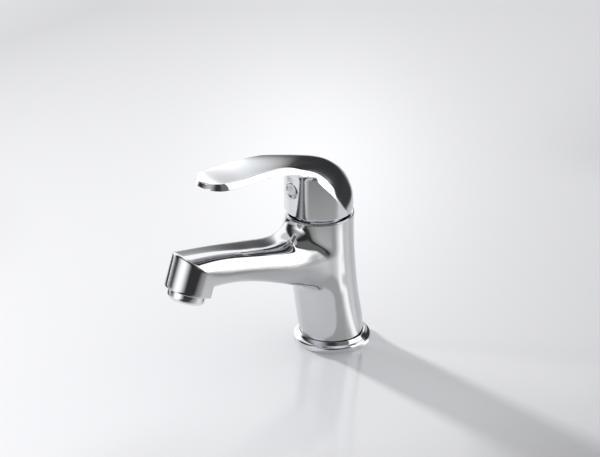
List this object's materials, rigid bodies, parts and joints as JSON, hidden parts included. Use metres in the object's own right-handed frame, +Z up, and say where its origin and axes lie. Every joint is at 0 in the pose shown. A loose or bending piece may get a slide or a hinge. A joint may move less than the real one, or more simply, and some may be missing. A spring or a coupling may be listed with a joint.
{
  "type": "single lever basin mixer",
  "caption": "Chrome single lever basin mixer: leaning round body with cast spout, mitred nozzle with aerator, and an arched lever handle over a ceramic cartridge.",
  "frame": {"origin": "centre of the base ring on the deck plane", "axes": "+Z up from the deck, -Y along the spout from the body to the outlet, +X to the right when looking along +Y from the spout side"},
  "size_m": [0.0512, 0.1579, 0.1466],
  "materials": {
    "chrome_cast": "polished chrome on cast brass",
    "chrome_trim": "polished chrome",
    "brass": "turned",
    "steel": "satin",
    "seal_rubber": "matte",
    "grey_polymer": "moulded",
    "white_polymer": "moulded",
    "blue_polymer": "moulded",
    "alumina": "lapped"
  },
  "bodies": {
    "mixer_body": {"body": "chrome_cast", "base_ring": "chrome_cast", "base_gasket": "seal_rubber", "cartridge_base": "grey_polymer", "seal_hot": "seal_rubber", "seal_cold": "seal_rubber", "seal_outlet": "seal_rubber", "cartridge_housing": "grey_polymer", "fixed_disc": "alumina", "cartridge_nut": "brass", "hood_seal": "seal_rubber", "hood": "chrome_cast", "aerator_casing": "chrome_cast", "aerator_gasket": "seal_rubber", "flow_regulator": "blue_polymer", "jet_former": "white_polymer", "aerator_screen": "steel"},
    "swivel": {"rotor": "white_polymer", "pivot_pin": "steel", "limit_ring": "blue_polymer"},
    "lever": {"spindle": "brass", "handle": "chrome_cast", "set_screw": "steel", "index_plug": "chrome_trim"},
    "valve_disc": {"moving_disc": "alumina", "disc_carrier": "white_polymer"}
  },
  "joints": [
    {"name": "temperature_swivel", "type": "hinge", "parent": "mixer_body", "child": "swivel", "pos_m": [0, -0.0106, 0.106], "axis": [0, 0, 1], "range_deg": [-50, 50]},
    {"name": "lever_lift", "type": "hinge", "parent": "swivel", "child": "lever", "pos_m": [0, -0.0106, 0.106], "axis": [-1, 0, 0], "range_deg": [0, 14]},
    {"name": "disc_slide", "type": "slide", "parent": "swivel", "child": "valve_disc", "axis": [0, -1, 0], "range_m": [0, 0.0052]}
  ],
  "couplings": [
    {"joint": "disc_slide", "follows": "lever_lift", "m_per_rad": 0.020623}
  ]
}
